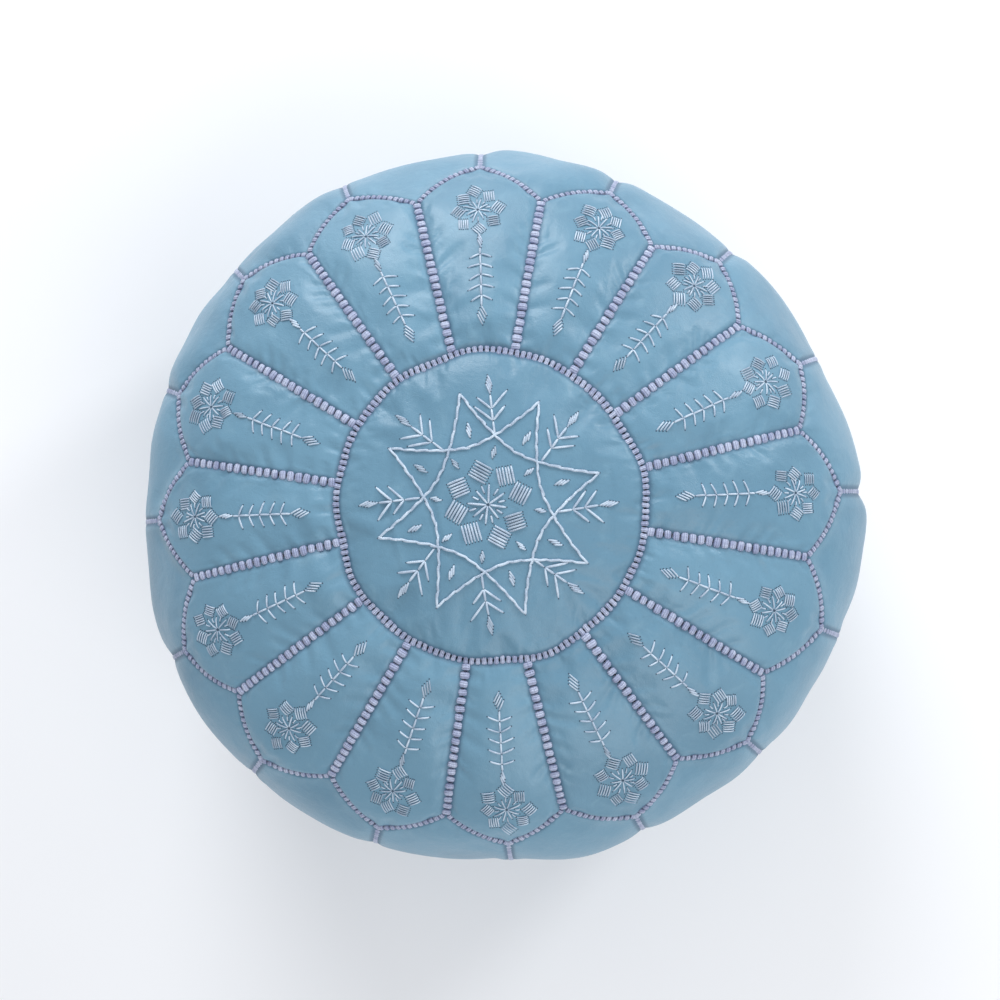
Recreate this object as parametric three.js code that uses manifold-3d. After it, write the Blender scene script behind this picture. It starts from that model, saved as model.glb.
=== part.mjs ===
// A round Moroccan leather pouf: an embroidered medallion ringed by sixteen petals, sixteen side panels
// that rise into the notches between the petals, a two-piece base that closes with a zip, and a filling
// of loose cotton.
// Millimetres, +Z up. The origin is the middle of the floor contact, and a petal points along +X.
import * as THREE from "three";
import { mergeVertices } from "three/addons/utils/BufferGeometryUtils.js";
import Module from "manifold-3d";

const wasm = await Module();
wasm.setup();

// The stuffed cover.
const crownHeight = 330; // leather at the middle of the top, above the floor
const girthRadius = 268;
const girthHeight = 165;
const footRadius = 205; // edge of the flat that stands on the floor
const shoulderPower = 2.7; // squareness of the outline above the girth, where 2 is an ellipse
const bellyPower = 2.2; // the same below the girth
const leatherThickness = 1.5;

// The cut of the leather.
const panelCount = 16;
const ringSeamRadius = 105;
const notchRadius = 215; // where two petals part
const tipRadius = 241; // the point of a petal
const baseSeamRadius = 232;

// Overcast seams: a band of thick thread between two edges of leather.
const seamHalfWidth = 3.5;
const seamTopHalfWidth = 2.3;
const seamRise = 2.4; // above the leather
const seamGap = 0.6; // to the leather beside it
const edgeSetback = seamHalfWidth + seamGap;
const petalRows = 4;
const sideRows = 7;
const gableMargin = 9; // from a gabled end to the first level row

// The star stitched on the medallion.
const starTipRadius = 75;
const starWaistRadius = 38.5; // the middle of each hollow side
const starTurn = THREE.MathUtils.degToRad(13.85);
const starHollowPower = 1.545; // how sharply a side bends at its middle
const starThreadWidth = 2.2;
const starThreadHeight = 0.9;
const threadClearance = 0.4;

// The zip along X in the base, raised clear of the floor by a channel in the leather.
const channelRise = 6.6;
const channelFlatHalfWidth = 8;
const channelHalfWidth = 34;
const channelFlatHalfLength = 185;
const channelHalfLength = 203;
const slotHalfWidth = 6;
const slotHalfLength = 172;
const slotTaper = 10;
const closedEdgeGap = 0.5; // half the gap where the two halves of the base meet beyond the slot
const slotEnd = slotHalfLength + slotTaper;
const baseStations = [0, 60, 115, 150, slotHalfLength, slotEnd, 194, channelHalfLength, 218];
const baseRows = [0, 0.1, 0.2, 0.6, 0.89, 1]; // shares of the way from the slot to the base seam
const coil = { start: -168, end: 158, inner: 0.15, outer: 2.6, bottom: 5.8, top: 8.2 };
const tape = { halfLength: 180, inner: 1.6, outer: 16.5, bottom: 8.5, top: 9.1 };
const stopLength = 3;
const stopHalfWidth = 3.4;
const slider = { start: 148, end: 163, halfWidth: 4.8, lower: [4.2, 5.4], upper: [9.5, 10.5] };
const sliderPost = { start: 159, end: 162, halfWidth: 1.2 };
const bail = { start: 151.6, end: 159.4, leg: 1.2, halfWidth: 0.8, bottom: 1.6, bar: 0.7 };
const pull = { pinX: 155.5, pinZ: 3.25, pinRadius: 0.6, pinHalfLength: 2.6, armWidth: 1.2, thickness: 1.1 };
const pullTab = { start: 129.5, end: 149, halfWidth: 4.5 };

// The filling.
const fillingInset = 6; // behind the outer face of the leather
const fillingChannel = { halfLength: 205, halfWidth: 37, top: 13 };

const halfPanel = Math.PI / panelCount;
const ringSegments = 2 * panelCount;

// Half of the upright outline, with the radius as x: 0 is the crown, 0.5 the girth and 1 the foot's edge.
class SkinProfile extends THREE.Curve {
  getPoint(share, target = new THREE.Vector3()) {
    const turn = Math.PI * Math.abs(0.5 - share);
    if (share <= 0.5) {
      const round = 2 / shoulderPower;
      const rise = (crownHeight - girthHeight) * Math.sin(turn) ** round;
      return target.set(girthRadius * Math.cos(turn) ** round, 0, girthHeight + rise);
    }
    const round = 2 / bellyPower;
    const reach = (girthRadius - footRadius) * Math.cos(turn) ** round;
    return target.set(footRadius + reach, 0, girthHeight * (1 - Math.sin(turn) ** round));
  }
}

const skin = new SkinProfile();
skin.arcLengthDivisions = 2000;
const skinLength = skin.getLength();
const ringArc = arcOnTop(ringSeamRadius);
const notchArc = arcOnTop(notchRadius);
const tipArc = arcOnTop(tipRadius);
const baseArc = arcBelow(baseSeamRadius);
const zigzagSlope = (tipArc - notchArc) / (halfPanel * 0.5 * (notchRadius + tipRadius));
const zigzagSetback = edgeSetback * Math.hypot(1, zigzagSlope);

// The distance along the skin from the crown at which a test stops holding.
function arcWhere(test) {
  let near = 0;
  let far = skinLength;
  for (let step = 0; step < 40; step++) {
    const middle = (near + far) / 2;
    if (test(skin.getPointAt(middle / skinLength))) near = middle;
    else far = middle;
  }
  return near;
}

function arcOnTop(radius) {
  return arcWhere((point) => point.z > girthHeight && point.x < radius);
}

function arcBelow(radius) {
  return arcWhere((point) => point.z > girthHeight || point.x > radius);
}

function skinRadius(arc) {
  return skin.getPointAt(arc / skinLength).x;
}

// A point at an angle round the pouf and a distance along the skin, lifted off the skin.
function skinPlace(angle, arc, lift = 0) {
  const point = skin.getPointAt(arc / skinLength);
  const along = skin.getTangentAt(arc / skinLength);
  const radius = point.x - along.z * lift;
  return new THREE.Vector3(radius * Math.cos(angle), radius * Math.sin(angle), point.z + along.x * lift);
}

function toSolid(geometry) {
  const bare = geometry.clone();
  bare.deleteAttribute("normal");
  bare.deleteAttribute("uv");
  const merged = mergeVertices(bare, 1e-4);
  return new wasm.Manifold(
    new wasm.Mesh({
      numProp: 3,
      vertProperties: new Float32Array(merged.attributes.position.array),
      triVerts: new Uint32Array(merged.index.array),
    }),
  );
}

function toGeometry(solid) {
  const mesh = solid.getMesh();
  return new THREE.BufferGeometry()
    .setAttribute("position", new THREE.BufferAttribute(mesh.vertProperties, 3))
    .setIndex(new THREE.BufferAttribute(mesh.triVerts, 1));
}

function joined(geometries) {
  return toGeometry(geometries.map(toSolid).reduce((whole, piece) => whole.add(piece)));
}

// A closed shell between two grids of points, place(across, along, layer), where layer 0 is the outside.
function gridShell(columns, rows, place) {
  const positions = [];
  const indices = [];
  const stride = columns + 1;
  const layerSize = stride * (rows + 1);
  for (const layer of [0, 1]) {
    for (let row = 0; row <= rows; row++) {
      for (let column = 0; column <= columns; column++) {
        positions.push(...place(column / columns, row / rows, layer).toArray());
      }
    }
  }
  const corner = ([column, row], layer) => layer * layerSize + row * stride + column;
  const quad = (a, b, c, d) => indices.push(a, b, c, a, c, d);
  const wall = (from, to) => quad(corner(from, 0), corner(to, 0), corner(to, 1), corner(from, 1));
  for (let row = 0; row < rows; row++) {
    for (let column = 0; column < columns; column++) {
      const around = [[0, 0], [0, 1], [1, 1], [1, 0]].map(([c, r]) => [column + c, row + r]);
      quad(...around.map((point) => corner(point, 0)));
      quad(...around.reverse().map((point) => corner(point, 1)));
    }
  }
  for (let column = 0; column < columns; column++) {
    wall([column, 0], [column + 1, 0]);
    wall([column + 1, rows], [column, rows]);
  }
  for (let row = 0; row < rows; row++) {
    wall([0, row + 1], [0, row]);
    wall([columns, row], [columns, row + 1]);
  }
  return new THREE.BufferGeometry()
    .setAttribute("position", new THREE.Float32BufferAttribute(positions, 3))
    .setIndex(indices);
}

// A strip of constant section along a route of [angle, arc] on the skin. A section's corners are
// [sideways, lift].
function stripOnSkin(route, section, closed = false) {
  const centres = route.map(([angle, arc]) => skinPlace(angle, arc));
  const count = route.length;
  const positions = [];
  route.forEach(([angle, arc], i) => {
    const before = centres[closed ? (i + count - 1) % count : Math.max(i - 1, 0)];
    const after = centres[closed ? (i + 1) % count : Math.min(i + 1, count - 1)];
    const normal = skinPlace(angle, arc, 1).sub(centres[i]);
    const sideways = after.clone().sub(before).cross(normal).normalize();
    for (const [aside, lift] of section) {
      const corner = centres[i].clone().addScaledVector(sideways, aside).addScaledVector(normal, lift);
      positions.push(...corner.toArray());
    }
  });
  const sides = section.length;
  const indices = [];
  const spans = closed ? count : count - 1;
  for (let i = 0; i < spans; i++) {
    const here = i * sides;
    const next = ((i + 1) % count) * sides;
    for (let k = 0; k < sides; k++) {
      const following = (k + 1) % sides;
      indices.push(here + k, next + following, next + k, here + k, here + following, next + following);
    }
  }
  if (!closed) {
    const last = (count - 1) * sides;
    for (let k = 1; k < sides - 1; k++) {
      indices.push(0, k + 1, k, last, last + k, last + k + 1);
    }
  }
  return new THREE.BufferGeometry()
    .setAttribute("position", new THREE.Float32BufferAttribute(positions, 3))
    .setIndex(indices);
}

const seamSection = [
  [-seamHalfWidth, -leatherThickness],
  [-seamTopHalfWidth, seamRise],
  [seamTopHalfWidth, seamRise],
  [seamHalfWidth, -leatherThickness],
];

function straightRoute(from, to, steps) {
  return Array.from({ length: steps + 1 }, (_, i) => [
    THREE.MathUtils.lerp(from[0], to[0], i / steps),
    THREE.MathUtils.lerp(from[1], to[1], i / steps),
  ]);
}

function ringRoute(arc) {
  return Array.from({ length: ringSegments }, (_, i) => [(2 * Math.PI * i) / ringSegments, arc]);
}

// The half angle of a panel whose edge stands clear of the seam beside it.
function clearHalfAngle(arc) {
  return halfPanel - edgeSetback / skinRadius(arc);
}

// Where the zigzag between petals and sides runs, at an angle from a petal's middle.
function zigzagArc(angle) {
  return THREE.MathUtils.lerp(tipArc, notchArc, Math.abs(angle) / halfPanel);
}

// Rows of a panel run level round the pouf, apart from the one along its gabled end.
function petalPanel(middle) {
  const start = ringArc + edgeSetback;
  const lastLevel = notchArc - zigzagSetback - gableMargin;
  const levelShare = 1 - 1 / petalRows;
  return gridShell(2, petalRows, (across, along, layer) => {
    const side = 2 * across - 1;
    const gable = zigzagArc(side * clearHalfAngle(notchArc)) - zigzagSetback;
    const arc = along > levelShare + 1e-6 ? gable : THREE.MathUtils.lerp(start, lastLevel, along / levelShare);
    return skinPlace(middle + side * clearHalfAngle(arc), arc, -layer * leatherThickness);
  });
}

function sidePanel(middle) {
  const firstLevel = tipArc + zigzagSetback + gableMargin;
  const end = baseArc - edgeSetback;
  const levelShare = 1 - 1 / sideRows;
  return gridShell(2, sideRows, (across, along, layer) => {
    const side = 2 * across - 1;
    const gable = zigzagArc(halfPanel - Math.abs(side) * clearHalfAngle(tipArc)) + zigzagSetback;
    const arc = along < 1e-6 ? gable : THREE.MathUtils.lerp(end, firstLevel, (1 - along) / levelShare);
    return skinPlace(middle + side * clearHalfAngle(arc), arc, -layer * leatherThickness);
  });
}

// A disc of leather as a solid of revolution, turned so that its corners line up with the ring seam's.
function medallion() {
  const rim = ringArc - edgeSetback;
  const outline = [];
  const addOutline = (lift, shares) => {
    for (const share of shares) {
      const point = skinPlace(0, rim * share, lift);
      outline.push(new THREE.Vector2(Math.max(point.x, 0), point.z));
    }
  };
  addOutline(-leatherThickness, [0, 0.45, 0.8, 1]);
  addOutline(0, [1, 0.8, 0.45, 0]);
  return new THREE.LatheGeometry(outline, ringSegments).rotateX(Math.PI / 2);
}

function topSeam() {
  const pieces = [stripOnSkin(ringRoute(ringArc), seamSection, true)];
  for (let i = 0; i < panelCount; i++) {
    const tip = 2 * halfPanel * i;
    const notch = tip + halfPanel;
    const nextTip = notch + halfPanel;
    pieces.push(stripOnSkin(straightRoute([notch, ringArc], [notch, notchArc], 4), seamSection));
    pieces.push(stripOnSkin(straightRoute([notch, notchArc], [tip, tipArc], 1), seamSection));
    pieces.push(stripOnSkin(straightRoute([notch, notchArc], [nextTip, tipArc], 1), seamSection));
  }
  return joined(pieces);
}

function sideSeam() {
  const start = tipArc + seamHalfWidth * Math.hypot(1, zigzagSlope) + seamGap;
  const pieces = [stripOnSkin(ringRoute(baseArc), seamSection, true)];
  for (let i = 0; i < panelCount; i++) {
    const angle = 2 * halfPanel * i;
    pieces.push(stripOnSkin(straightRoute([angle, start], [angle, baseArc], 7), seamSection));
  }
  return joined(pieces);
}

// One hollow side of the star, from a tip over its waist to the tip a quarter turn on.
function starSide(middle) {
  const reach = starTipRadius * Math.SQRT1_2;
  const section = [
    [-starThreadWidth / 2, threadClearance],
    [-starThreadWidth / 2, threadClearance + starThreadHeight],
    [starThreadWidth / 2, threadClearance + starThreadHeight],
    [starThreadWidth / 2, threadClearance],
  ];
  const route = [-1, -0.5, 0, 0.5, 1].map((share) => {
    const aside = share * reach;
    const out = starWaistRadius + (reach - starWaistRadius) * Math.abs(share) ** starHollowPower;
    return [middle + Math.atan2(aside, out), Math.hypot(aside, out)];
  });
  return stripOnSkin(route, section);
}

function starEmbroidery() {
  return joined(Array.from({ length: 8 }, (_, i) => starSide(starTurn + (i * Math.PI) / 4)));
}

// The height of the base leather's underside above the floor.
function baseHeight(x, y) {
  const radius = Math.hypot(x, y);
  const rim = radius > footRadius ? skin.getPointAt(arcBelow(radius) / skinLength).z : 0;
  const across = 1 - THREE.MathUtils.smoothstep(Math.abs(y), channelFlatHalfWidth, channelHalfWidth);
  const along = 1 - THREE.MathUtils.smoothstep(Math.abs(x), channelFlatHalfLength, channelHalfLength);
  return rim + channelRise * across * along;
}

// Half of the base, on the +Y side or the -Y side of the zip.
function basePanel(side) {
  const insideFlats = Math.cos(Math.PI / ringSegments); // clear of the base seam's straight segments
  const rimRadius = skinRadius(baseArc + edgeSetback) * insideFlats;
  const ahead = [...baseStations, rimRadius * Math.cos(Math.PI / 32)];
  const stations = [...ahead.slice(1).reverse().map((x) => -x), ...ahead];
  const columns = stations.length - 1;
  const rows = baseRows.length - 1;
  return gridShell(columns, rows, (across, along, layer) => {
    const x = side * stations[Math.round(across * columns)];
    const closing = THREE.MathUtils.clamp((Math.abs(x) - slotHalfLength) / slotTaper, 0, 1);
    const inner = THREE.MathUtils.lerp(slotHalfWidth, closedEdgeGap, closing);
    const outer = Math.sqrt(rimRadius ** 2 - x ** 2);
    const y = side * THREE.MathUtils.lerp(inner, outer, baseRows[Math.round(along * rows)]);
    const z = baseHeight(x, y);
    if (layer === 0) return new THREE.Vector3(x, y, z);
    const step = 0.05;
    const slopeX = (baseHeight(x + step, y) - baseHeight(x - step, y)) / (2 * step);
    const slopeY = (baseHeight(x, y + step) - baseHeight(x, y - step)) / (2 * step);
    const inwards = new THREE.Vector3(-slopeX, -slopeY, 1).setLength(leatherThickness);
    return new THREE.Vector3(x, y, z).add(inwards);
  });
}

function filling() {
  const rings = 14;
  const bottom = skinPlace(0, skinLength, -fillingInset).z;
  const outline = [new THREE.Vector2(0, bottom)];
  for (let i = rings; i >= 0; i--) {
    const point = skinPlace(0, (skinLength * i) / rings, -fillingInset);
    outline.push(new THREE.Vector2(Math.max(point.x, 0), point.z));
  }
  outline[rings + 1].x = 0;
  const body = new THREE.LatheGeometry(outline, 2 * panelCount).rotateX(Math.PI / 2);
  const { halfLength, halfWidth, top } = fillingChannel;
  const channel = block([-halfLength, halfLength], [-halfWidth, halfWidth], [-top, top]);
  return toGeometry(toSolid(body).subtract(toSolid(channel)));
}

function block([x0, x1], [y0, y1], [z0, z1]) {
  const box = new THREE.BoxGeometry(x1 - x0, y1 - y0, z1 - z0);
  return box.translate((x0 + x1) / 2, (y0 + y1) / 2, (z0 + z1) / 2);
}

function mirroredSpan(side, near, far) {
  return side > 0 ? [near, far] : [-far, -near];
}

function zipCoil(side) {
  return block([coil.start, coil.end], mirroredSpan(side, coil.inner, coil.outer), [coil.bottom, coil.top]);
}

function zipTape(side) {
  const { halfLength, inner, outer, bottom, top } = tape;
  return block([-halfLength, halfLength], mirroredSpan(side, inner, outer), [bottom, top]);
}

function zipStop(start) {
  return block([start, start + stopLength], [-stopHalfWidth, stopHalfWidth], [coil.bottom, coil.top]);
}

// Two plates joined by the post that parts the coils, with a bail for the pull under the lower plate.
function zipSlider() {
  const across = [-slider.halfWidth, slider.halfWidth];
  const bailAcross = [-bail.halfWidth, bail.halfWidth];
  const legUp = [bail.bottom, slider.lower[1]];
  const postAcross = [-sliderPost.halfWidth, sliderPost.halfWidth];
  return joined([
    block([slider.start, slider.end], across, slider.lower),
    block([slider.start, slider.end], across, slider.upper),
    block([sliderPost.start, sliderPost.end], postAcross, [slider.lower[0], slider.upper[1]]),
    block([bail.start, bail.start + bail.leg], bailAcross, legUp),
    block([bail.end - bail.leg, bail.end], bailAcross, legUp),
    block([bail.start, bail.end], bailAcross, [bail.bottom, bail.bottom + bail.bar]),
  ]);
}

// A tab on two arms, hung on a pin that passes between the bail and the slider.
function zipPull() {
  const flat = [pull.pinZ - pull.thickness / 2, pull.pinZ + pull.thickness / 2];
  const pin = new THREE.CylinderGeometry(pull.pinRadius, pull.pinRadius, 2 * pull.pinHalfLength, 12);
  const armInner = pull.pinHalfLength - pull.armWidth;
  const armAcross = (side) => mirroredSpan(side, armInner, pull.pinHalfLength);
  const arm = (side) => block([pullTab.end - 1, pull.pinX], armAcross(side), flat);
  return joined([
    block([pullTab.start, pullTab.end], [-pullTab.halfWidth, pullTab.halfWidth], flat),
    arm(1),
    arm(-1),
    pin.translate(pull.pinX, 0, pull.pinZ),
  ]);
}

// Dyed leather, thread, filling and zip finishes.
function finish(color, roughness, metalness = 0) {
  return new THREE.MeshStandardMaterial({ color, roughness, metalness });
}

const blueLeather = finish(0x7fb0cc, 0.42);
const seamThread = finish(0xc9c9dc, 0.75);
const embroideryThread = finish(0xcdd6e2, 0.6);
const cottonFilling = finish(0xe8e2d4, 0.95);
const zipCloth = finish(0x6f93a8, 0.9);
const zipNylon = finish(0x7d9fb2, 0.5);
const zipMetal = finish(0xb9bcc0, 0.3, 1);

const pouf = new THREE.Group();

function add(name, geometry, material) {
  const mesh = new THREE.Mesh(geometry, material);
  mesh.name = name;
  pouf.add(mesh);
}

add("top_medallion", medallion(), blueLeather);
for (let i = 0; i < panelCount; i++) {
  const number = String(i + 1).padStart(2, "0");
  add(`petal_panel_${number}`, petalPanel(2 * halfPanel * i), blueLeather);
  add(`side_panel_${number}`, sidePanel(2 * halfPanel * i + halfPanel), blueLeather);
}
add("base_panel_front", basePanel(-1), blueLeather);
add("base_panel_back", basePanel(1), blueLeather);
add("top_seam", topSeam(), seamThread);
add("side_seam", sideSeam(), seamThread);
add("star_embroidery", starEmbroidery(), embroideryThread);
add("cotton_filling", filling(), cottonFilling);
for (const [label, side] of [["front", -1], ["back", 1]]) {
  add(`zip_tape_${label}`, zipTape(side), zipCloth);
  add(`zip_coil_${label}`, zipCoil(side), zipNylon);
}
add("zip_end_stop", zipStop(coil.start - stopLength - 0.5), zipMetal);
add("zip_top_stop", zipStop(slider.end + 1.5), zipMetal);
add("zip_slider", zipSlider(), zipMetal);
add("zip_pull", zipPull(), zipMetal);

export default pouf;
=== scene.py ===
import math
import random

import bmesh
import bpy
import numpy as np
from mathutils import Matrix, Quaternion, Vector
from mathutils.bvhtree import BVHTree


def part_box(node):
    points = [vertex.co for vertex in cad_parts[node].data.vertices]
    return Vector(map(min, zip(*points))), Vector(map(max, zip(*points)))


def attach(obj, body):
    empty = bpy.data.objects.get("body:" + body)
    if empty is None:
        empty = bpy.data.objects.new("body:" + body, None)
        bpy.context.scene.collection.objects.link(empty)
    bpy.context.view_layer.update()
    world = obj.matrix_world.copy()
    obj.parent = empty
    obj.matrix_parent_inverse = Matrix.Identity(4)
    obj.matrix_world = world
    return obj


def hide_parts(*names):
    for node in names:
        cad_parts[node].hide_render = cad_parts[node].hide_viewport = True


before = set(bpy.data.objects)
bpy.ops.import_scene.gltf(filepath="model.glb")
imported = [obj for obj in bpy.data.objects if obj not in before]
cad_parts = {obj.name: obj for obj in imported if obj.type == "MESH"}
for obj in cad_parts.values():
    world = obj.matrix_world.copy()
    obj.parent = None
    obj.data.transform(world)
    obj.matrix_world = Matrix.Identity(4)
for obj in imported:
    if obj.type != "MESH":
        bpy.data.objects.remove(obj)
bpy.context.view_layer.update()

# The stuffed cover, in metres. The frame was cut to the same sizes, but its ring is 2 mm wider.
pouf = {
    "crownHeight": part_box("top_medallion")[1].z,
    "girthRadius": 0.268,
    "girthHeight": 0.165,
    "footRadius": 0.205,
    "shoulderPower": 2.7,
    "bellyPower": 2.2,
    "panels": 16,
    "ringRadius": 0.103,
    "notchRadius": 0.215,
    "tipRadius": 0.241,
    "baseSeamRadius": 0.232,
    "petalEndBulge": 0.0019,  # a petal's end bows out past a straight cut
}
halfPanel = math.pi / pouf["panels"]

# The filled pouf has settled a little oval and three-cornered: order, rise, and direction in degrees.
settling = [(2, 0.002, -45), (3, 0.004, -45)]

# How hand cutting wanders from petal to petal: order, shift and phase in degrees.
wanderRound = [(3, 0.0035, 40), (5, 0.0028, 110), (7, 0.0024, 10), (11, 0.0020, 70)]  # radians
wanderDown = [(2, 0.0010, 200), (5, 0.0010, 20), (9, 0.0009, 90), (13, 0.0008, 150)]  # metres


# The skin that every panel is cut from

def outline(steps=6000):
    share = np.linspace(0, 1, steps)
    turn = np.pi * np.abs(0.5 - share)
    cos, sin = np.cos(turn).clip(0), np.sin(turn)
    upper, lower = 2 / pouf["shoulderPower"], 2 / pouf["bellyPower"]
    reach = pouf["girthRadius"] - pouf["footRadius"]
    rise = pouf["crownHeight"] - pouf["girthHeight"]
    top = share <= 0.5
    radius = np.where(top, pouf["girthRadius"] * cos ** upper, pouf["footRadius"] + reach * cos ** lower)
    above, under = pouf["girthHeight"] + rise * sin ** upper, pouf["girthHeight"] * (1 - sin ** lower)
    height = np.where(top, above, under)
    arc = np.concatenate([[0], np.cumsum(np.hypot(np.diff(radius), np.diff(height)))])
    return radius, height, arc


outlineRadius, outlineHeight, outlineArc = outline()
girthArc = outlineArc[np.argmax(outlineRadius)]


def arcAt(radius, below=False):
    kept = outlineArc > girthArc if below else outlineArc <= girthArc
    order = np.argsort(outlineRadius[kept])
    return float(np.interp(radius, outlineRadius[kept][order], outlineArc[kept][order]))


ringArc, notchArc, tipArc = (arcAt(pouf[key]) for key in ("ringRadius", "notchRadius", "tipRadius"))
baseArc = arcAt(pouf["baseSeamRadius"], below=True)


def waves(angle, terms):
    return sum(size * np.cos(order * angle - math.radians(phase)) for order, size, phase in terms)


def smooth(x):
    x = np.clip(x, 0, 1)
    return x * x * (3 - 2 * x)


def skinPoints(angle, arc, lift=0.0):
    angle, arc = np.broadcast_arrays(np.asarray(angle, float), np.asarray(arc, float))
    onTop = smooth(arc / ringArc) * (1 - 0.8 * smooth((arc - tipArc) / (baseArc - tipArc)))
    belly = np.sin(np.pi * np.clip(arc / baseArc, 0, 1))
    turned = angle + waves(angle, wanderRound) * onTop
    run = arc + waves(angle, wanderDown) * belly
    radius, height = (np.interp(run, outlineArc, table) for table in (outlineRadius, outlineHeight))
    step = 0.002
    ahead = [np.interp(run + step, outlineArc, t) - np.interp(run - step, outlineArc, t)
             for t in (outlineRadius, outlineHeight)]
    length = np.hypot(*ahead)
    outward, upward = -ahead[1] / length, ahead[0] / length
    spread = 1 + waves(turned, settling) / pouf["girthRadius"] * smooth(radius / pouf["girthRadius"])
    radius = (radius + lift * outward) * spread
    place = np.stack([radius * np.cos(turned), radius * np.sin(turned), height + lift * upward], -1)
    normal = np.stack([outward * np.cos(turned), outward * np.sin(turned), upward], -1)
    return place, normal


def gableArc(share):
    bow = 4 * share * (1 - share) * pouf["petalEndBulge"]
    return tipArc + (notchArc - tipArc) * share + bow


# The cut of the cover: one grid of points for each panel. A grid is first coarse, for the
# simulation, then cut again along finer lines, which lie closest together beside the seams.

cut = {"columns": 16, "petalRows": 24, "sideRows": 52, "fine": 3, "sideFine": 2, "discFine": 2, "edgeFine": 6}


def evenLines(cells):
    return np.arange(cells + 1, dtype=float)


def fineLines(cells, fine):
    edge = cut["edgeFine"]
    first, last = np.arange(edge) / edge, np.arange(edge + 1) / edge + cells - 1
    return np.concatenate([first, np.arange((cells - 2) * fine) / fine + 1, last])


def petalGrid(index, across, down):
    aside = across[None, :] / cut["columns"] * 2 - 1
    share = down[:, None] / cut["petalRows"]
    end = gableArc(np.abs(aside))
    arc = ringArc + (end - ringArc) * share
    angle = 2 * halfPanel * index + aside * halfPanel + 0 * share
    width = np.interp(arc, outlineArc, outlineRadius) * halfPanel
    toSeam = np.minimum(np.minimum((1 - np.abs(aside)) * width, arc - ringArc), end - arc)
    return {"angle": angle, "arc": arc, "toSeam": toSeam, "aside": aside * width}


def sideGrid(index, across, down):
    aside = across[None, :] / cut["columns"] * 2 - 1
    share = down[:, None] / cut["sideRows"]
    start = gableArc(1 - np.abs(aside))
    arc = start + (baseArc - start) * share
    angle = (2 * index + 1) * halfPanel + aside * halfPanel + 0 * share
    width = np.interp(arc, outlineArc, outlineRadius) * halfPanel
    toSeam = np.minimum(np.minimum((1 - np.abs(aside)) * width, baseArc - arc), arc - start)
    return {"angle": angle, "arc": arc, "toSeam": toSeam, "aside": aside * width}


def medallionGrid(index, across, down):  # a square grid, pushed out to a disc
    cells = cut["columns"] * pouf["panels"] // 4
    across, along = np.meshgrid(across / cells * 2 - 1, down / cells * 2 - 1)
    wide = np.abs(across) >= np.abs(along)
    reach = np.where(wide, across, along)
    part = np.where(wide, along, across) / np.where(reach == 0, 1, reach)
    turn = np.where(wide, np.pi / 4 * part, np.pi / 2 - np.pi / 4 * part)
    angle = np.arctan2(reach * np.sin(turn), reach * np.cos(turn))
    arc = np.abs(reach) * ringArc
    return {"angle": angle, "arc": arc, "toSeam": ringArc - arc, "aside": np.cos(angle) * arc}


def between(count, stations):
    base = np.clip(np.floor(stations).astype(int), 0, count - 2)
    t = stations - base
    weights = np.zeros((len(stations), count))
    curve = [-t / 2 + t**2 - t**3 / 2, 1 - 2.5 * t**2 + 1.5 * t**3,
             t / 2 + 2 * t**2 - 1.5 * t**3, (t**3 - t**2) / 2]
    for step, part in enumerate(curve):
        np.add.at(weights, (np.arange(len(stations)), np.clip(base + step - 1, 0, count - 1)), part)
    return weights


def gridFaces(rows, columns, flip=False):
    index = np.arange(rows * columns).reshape(rows, columns)
    corners = [index[:-1, :-1], index[1:, :-1], index[1:, 1:], index[:-1, 1:]]
    faces = np.stack(corners, -1).reshape(-1, 4)
    return faces[:, ::-1] if flip else faces


def newMesh(name, points, faces=(), edges=()):
    mesh = bpy.data.meshes.new(name)
    mesh.from_pydata(np.asarray(points, float).tolist(), np.asarray(edges, int).tolist(),
                     [list(map(int, face)) for face in faces])
    mesh.update()
    return mesh


def giveValues(mesh, name, values, vector=False):
    kind, slot = ("FLOAT_VECTOR", "vector") if vector else ("FLOAT", "value")
    mesh.attributes.new(name, kind, "POINT").data.foreach_set(slot, np.asarray(values, np.float32).ravel())


def newObject(name, mesh, finish=None):
    obj = bpy.data.objects.new(name, mesh)
    bpy.context.scene.collection.objects.link(obj)
    if finish:
        mesh.materials.clear()
        mesh.materials.append(finish)
    return obj


def settle(obj):
    graph = bpy.context.evaluated_depsgraph_get()
    graph.update()
    shaped = obj.evaluated_get(graph)
    mesh = bpy.data.meshes.new_from_object(shaped, preserve_all_data_layers=True, depsgraph=graph)
    obj.modifiers.clear()
    old = obj.data
    obj.data = mesh
    mesh.name = obj.name
    bpy.data.meshes.remove(old)
    return obj


# The cover, blown up by its filling between the seams

stuffing = {
    "slack": 0.020,  # how much larger the leather is cut than the gap that it fills
    "pressure": 4.0,
    "frames": 20,
    "cap": 0.012,  # the furthest that a point may move
    "quickPuff": 0.005,
    "fill": 0.9,
}


def coverPatches():
    columns = cut["columns"]
    disc = columns * pouf["panels"] // 4
    patches = [("top_medallion", medallionGrid, 0, disc, disc, cut["discFine"])]
    for i in range(pouf["panels"]):
        patches.append((f"petal_panel_{i + 1:02d}", petalGrid, i, columns, cut["petalRows"], cut["fine"]))
        patches.append((f"side_panel_{i + 1:02d}", sideGrid, i, columns, cut["sideRows"], cut["sideFine"]))
    return patches


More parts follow.
